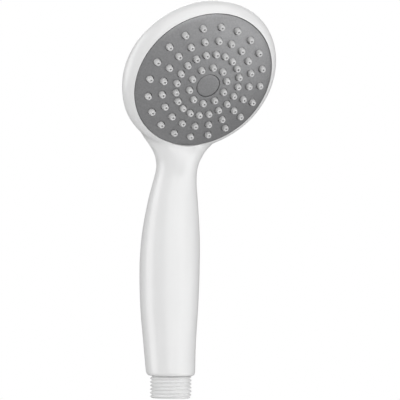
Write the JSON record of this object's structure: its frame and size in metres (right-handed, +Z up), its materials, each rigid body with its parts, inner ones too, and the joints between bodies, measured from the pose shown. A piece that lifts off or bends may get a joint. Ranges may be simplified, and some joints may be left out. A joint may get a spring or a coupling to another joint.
{
  "type": "handheld shower head",
  "caption": "White handheld shower head with a round tilted spray face, rub-clean nozzles, a slim waisted handle and a threaded hose inlet holding a strainer, flow regulator and check valve.",
  "frame": {"origin": "centre of the annular end face of the threaded inlet, on the inlet's axis", "axes": "+Z up the inlet's axis into the handle; the spray face looks towards -Y and 32.5 degrees down; +X to the viewer's right when the spray face is in front"},
  "size_m": [0.0816, 0.0708, 0.1953],
  "materials": {
    "white_abs": "polished white ABS",
    "grey_face": "satin mid grey",
    "silicone": "translucent grey-white silicone",
    "inner_white": "natural acetal",
    "inner_blue": "blue acetal",
    "seal_rubber": "black EPDM",
    "stainless": "plain stainless steel"
  },
  "bodies": {
    "handset": {"handset_body": "white_abs", "face_plate": "grey_face", "nozzle_mat": "silicone", "clamp_plate": "inner_white", "face_seal": "seal_rubber", "face_screw": "stainless", "screw_washer": "seal_rubber", "screw_cap": "grey_face", "inlet_connector": "white_abs", "connector_o_ring_lower": "seal_rubber", "connector_o_ring_upper": "seal_rubber", "waterway_tube": "inner_white", "tube_o_ring_lower": "seal_rubber", "tube_o_ring_upper": "seal_rubber", "strainer_screen": "stainless", "strainer_ring": "inner_blue", "regulator_cap": "inner_white", "regulator_body": "inner_blue", "regulator_ring": "seal_rubber", "check_valve_housing": "inner_white", "check_valve_o_ring": "seal_rubber", "check_valve_spring": "stainless", "check_valve_cage": "inner_white"},
    "check_poppet": {"check_valve_poppet": "inner_blue", "check_valve_seal": "seal_rubber"}
  },
  "joints": [
    {"name": "check_valve_slide", "type": "slide", "parent": "handset", "child": "check_poppet", "axis": [0, 0, 1], "range_m": [0, 0.0025], "stiffness_N_per_m": 100, "springref_m": -0.003, "deforming": ["check_valve_spring"]}
  ]
}
